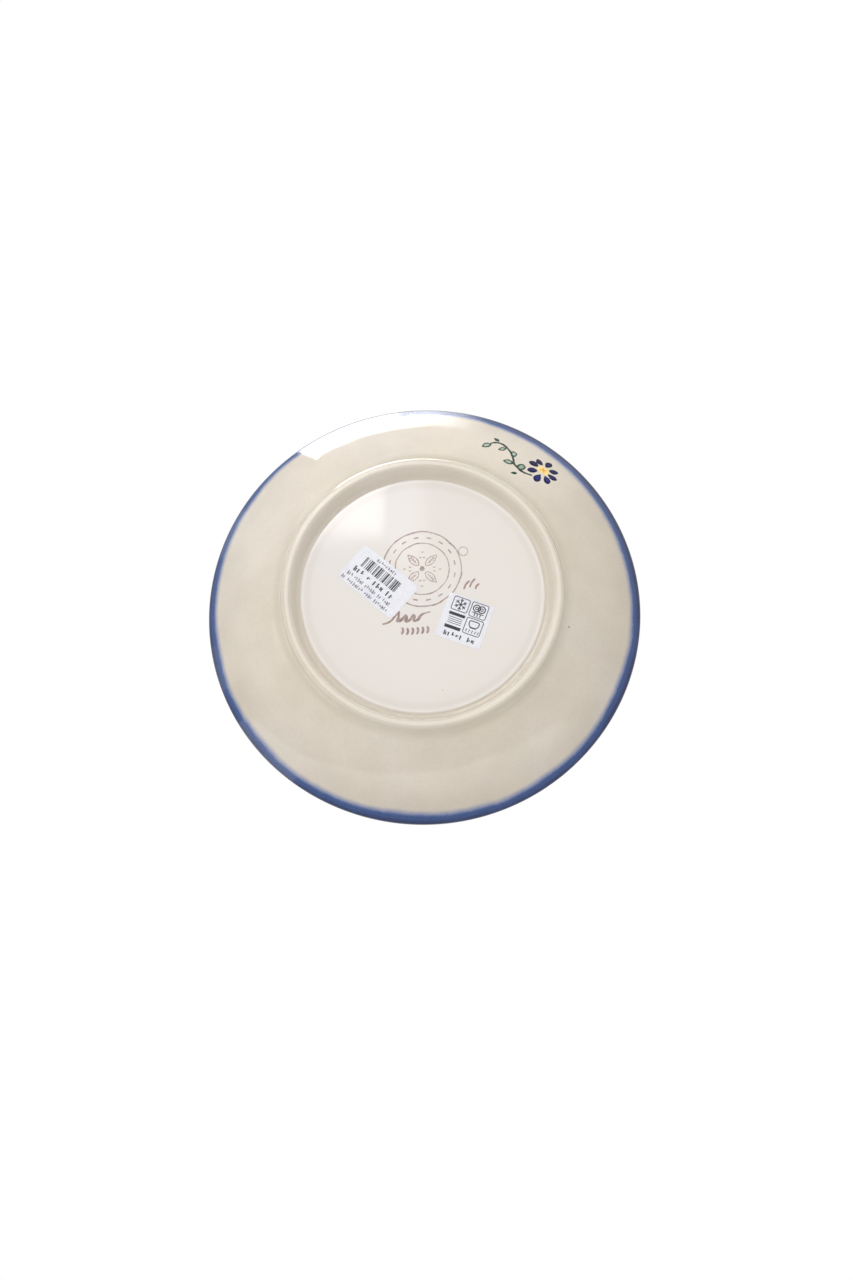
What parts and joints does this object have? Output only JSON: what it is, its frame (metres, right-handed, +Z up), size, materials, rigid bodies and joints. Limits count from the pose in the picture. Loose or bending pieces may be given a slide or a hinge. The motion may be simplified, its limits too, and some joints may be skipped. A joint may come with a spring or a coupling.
{
  "type": "plate",
  "caption": "Small round glazed stoneware plate with a foot ring, blue painted rim, painted daisy and vine, stamped base and paper stickers.",
  "frame": {"origin": "centre of the foot ring's standing plane", "axes": "+Z up out of the eating side, along the plate's axis; +Y towards the side of the base that carries the care sticker; +X towards the side with the daisy sprig"},
  "size_m": [0.19, 0.19, 0.028],
  "materials": {
    "cream_glaze": "glossy cream glaze over stoneware",
    "blue_glaze": "glossy blue glaze, feathered inwards",
    "navy_paint": "navy brush paint under a clear glaze",
    "yellow_paint": "yellow brush paint under a clear glaze",
    "green_paint": "green brush paint under a clear glaze",
    "sepia_ink": "pale sepia stamp colour under a clear glaze",
    "label_paper": "cool white label paper, satin"
  },
  "bodies": {
    "root": {"stoneware_body": "cream_glaze", "rim_band": "blue_glaze", "back_daisy_petals": "navy_paint", "back_daisy_centre": "yellow_paint", "back_vine": "green_paint", "back_stamp": "sepia_ink", "brush_marks": "sepia_ink", "price_label": "label_paper", "care_label": "label_paper", "front_daisy_petals": "navy_paint", "front_daisy_centres": "yellow_paint", "front_vine": "green_paint"}
  },
  "joints": []
}
